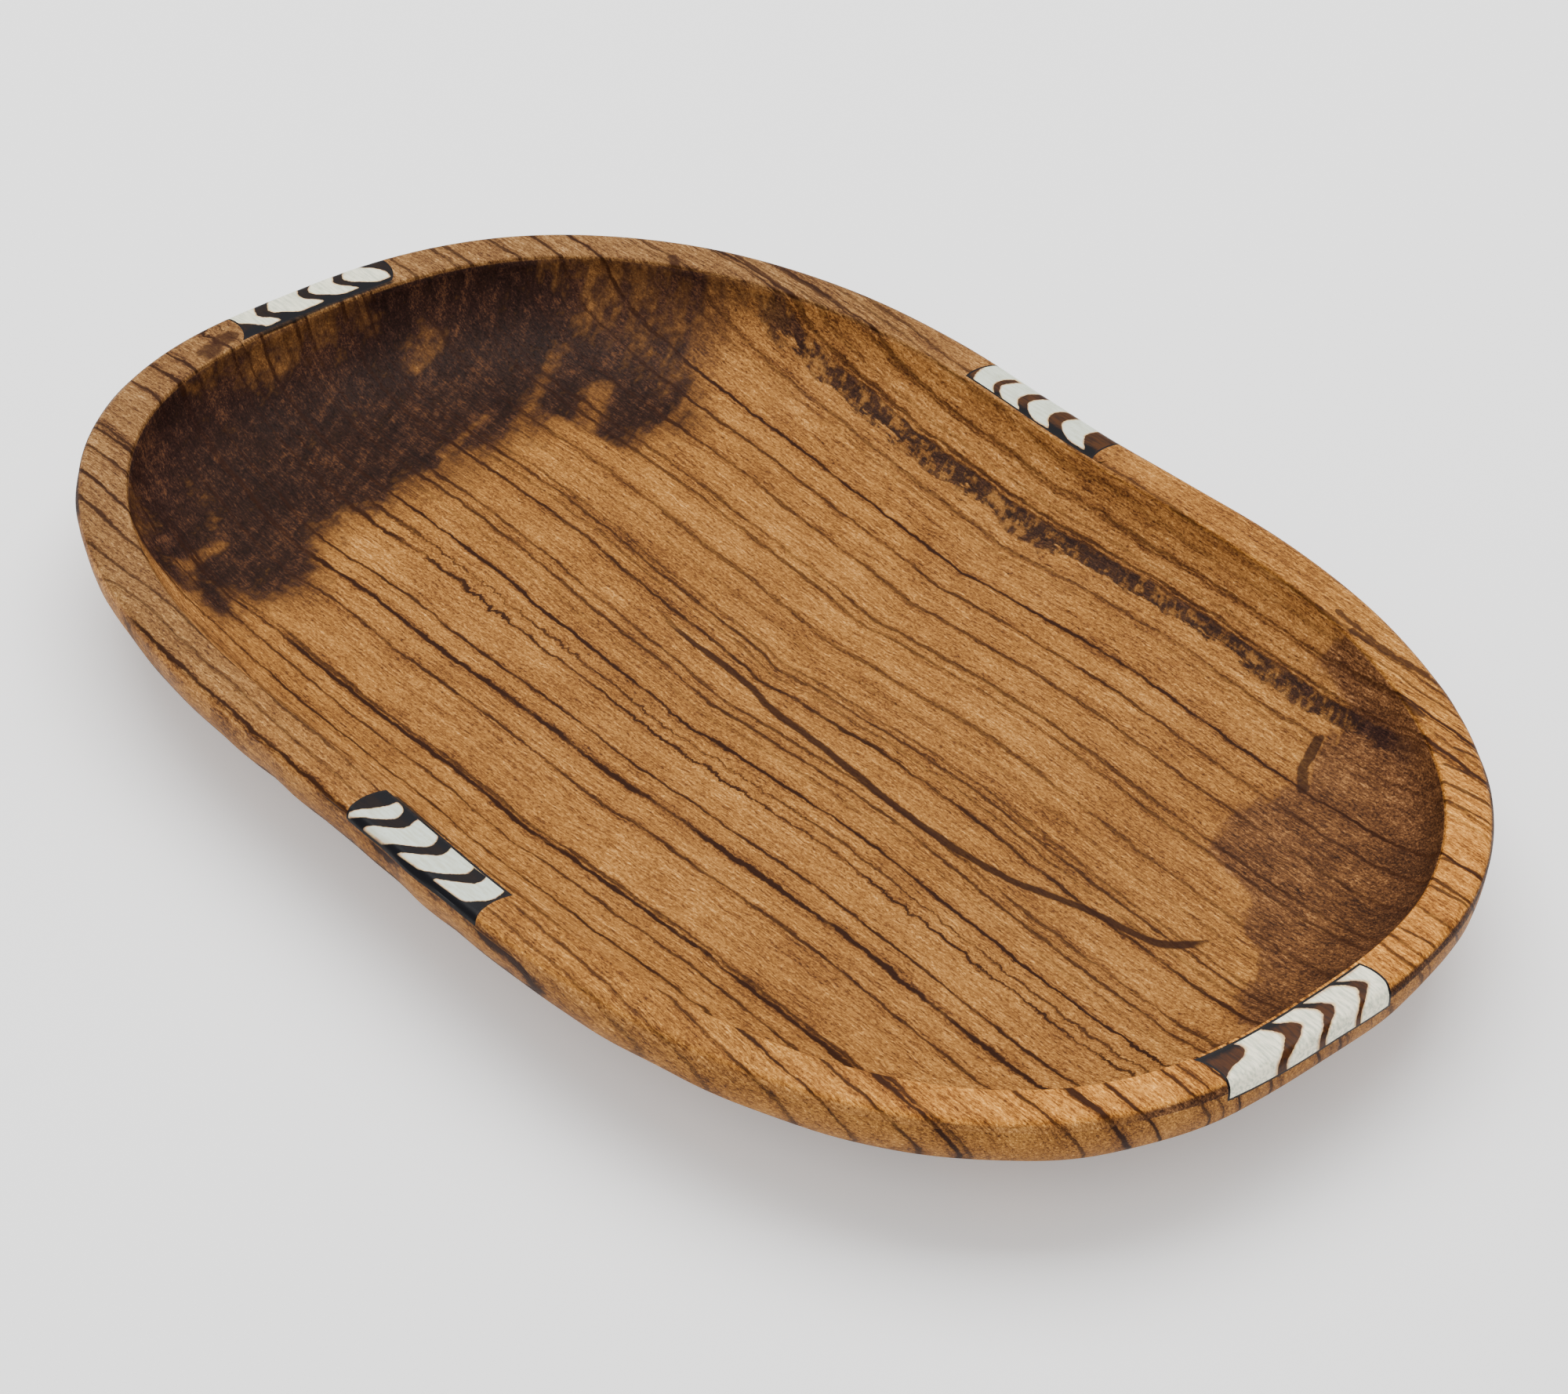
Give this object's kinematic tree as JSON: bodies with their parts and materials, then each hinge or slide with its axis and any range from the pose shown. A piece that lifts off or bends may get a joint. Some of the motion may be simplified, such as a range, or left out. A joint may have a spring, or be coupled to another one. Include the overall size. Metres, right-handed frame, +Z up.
{
  "type": "bowl",
  "caption": "Shallow oblong dish carved from one block of figured wood, with a coved hollow and a flat rim that has dyed bone slips let into it, for serving or display.",
  "frame": {"origin": "middle of the flat base, on the surface it rests on", "axes": "+X along the dish's length, +Y across it to the back, +Z up through the open top"},
  "size_m": [0.3, 0.1854, 0.027],
  "materials": {
    "wood": "oiled satin",
    "bone": "polished",
    "resin": "polished"
  },
  "bodies": {
    "root": {"bowl": "wood", "bone_slip_left": "bone", "bone_slip_right": "bone", "bone_slip_front": "bone", "bone_slip_back": "bone", "resin_bed_left": "resin", "resin_bed_right": "resin", "resin_bed_front": "resin", "resin_bed_back": "resin"}
  },
  "joints": []
}
